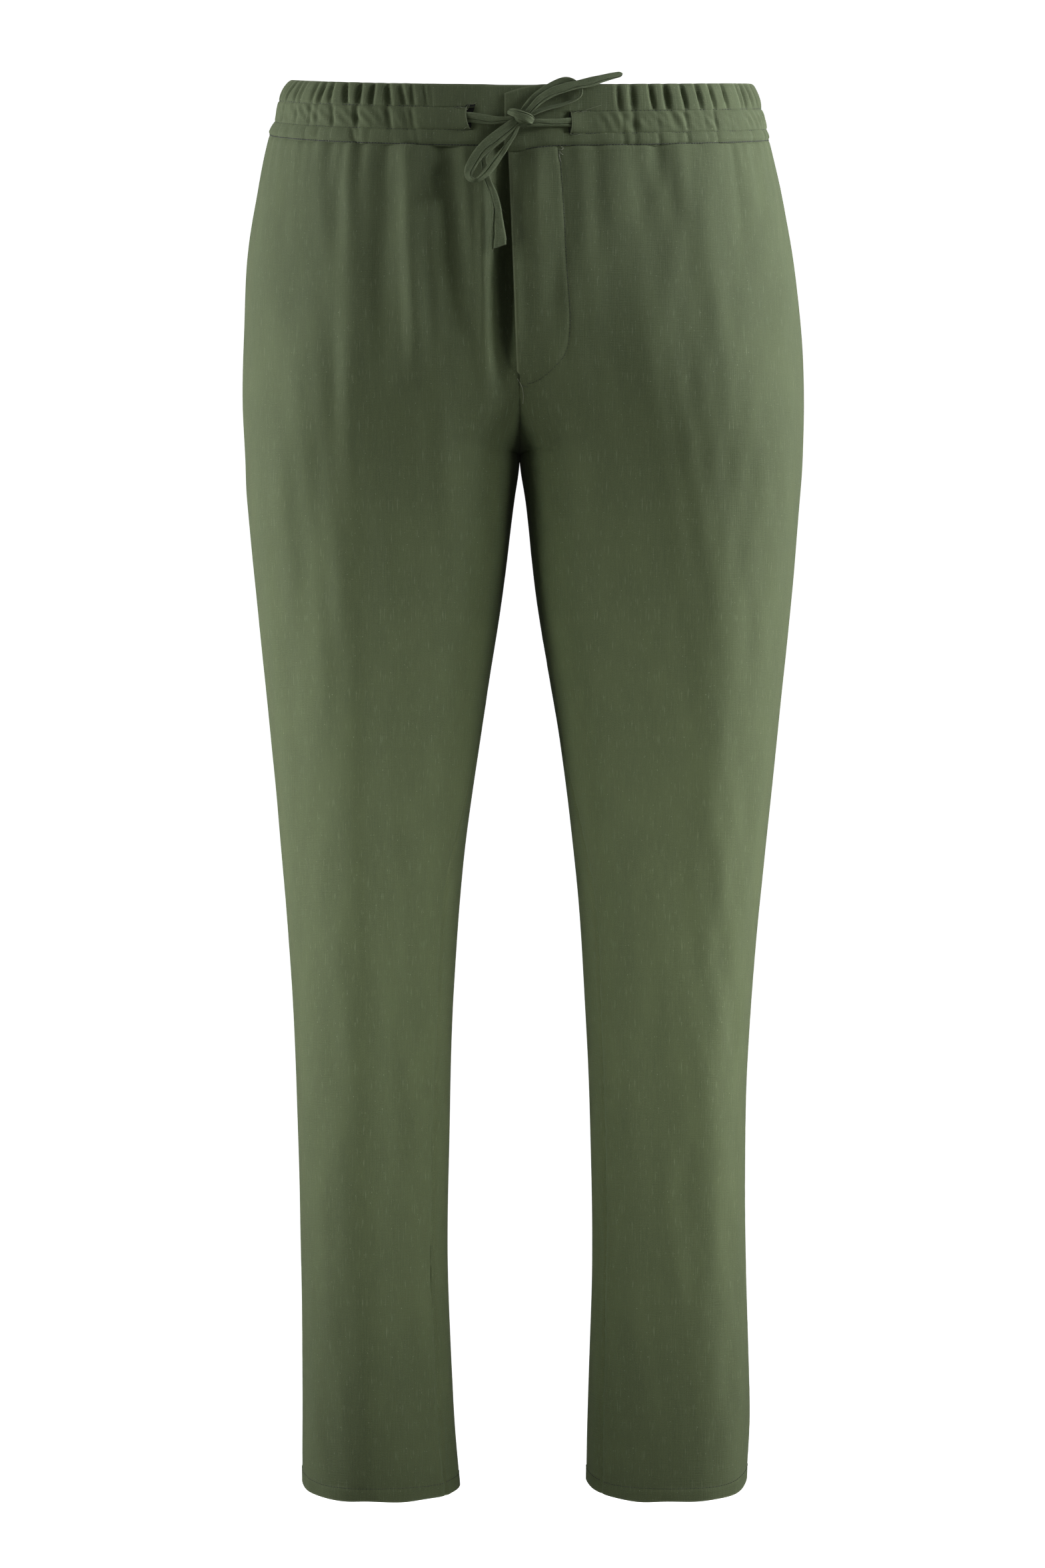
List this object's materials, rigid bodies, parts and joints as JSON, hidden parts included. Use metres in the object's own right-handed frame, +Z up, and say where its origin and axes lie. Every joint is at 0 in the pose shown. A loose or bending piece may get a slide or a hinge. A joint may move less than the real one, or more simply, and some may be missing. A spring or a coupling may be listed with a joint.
{
  "type": "linen drawstring trousers",
  "caption": "Straight-legged linen trousers with a gathered elastic waistband, a fly front and a tied flat drawstring, filled out as worn.",
  "frame": {"origin": "middle of the waist opening, level with its top edge at the sides", "axes": "+Z up along the legs, +X towards the wearer's left, the front faces -Y"},
  "size_m": [0.405, 0.2854, 1.029],
  "materials": {
    "linen": "matte woven",
    "tape": "matte woven"
  },
  "bodies": {
    "root": {"front_right": "linen", "front_left": "linen", "back_right": "linen", "back_left": "linen", "waistband_right": "linen", "waistband_left": "linen", "drawstring_run_right": "tape", "drawstring_run_left": "tape", "drawstring_knot": "tape", "drawstring_loop_upper": "tape", "drawstring_loop_lower": "tape", "drawstring_tail_upper": "tape", "drawstring_tail_lower": "tape"}
  },
  "joints": []
}
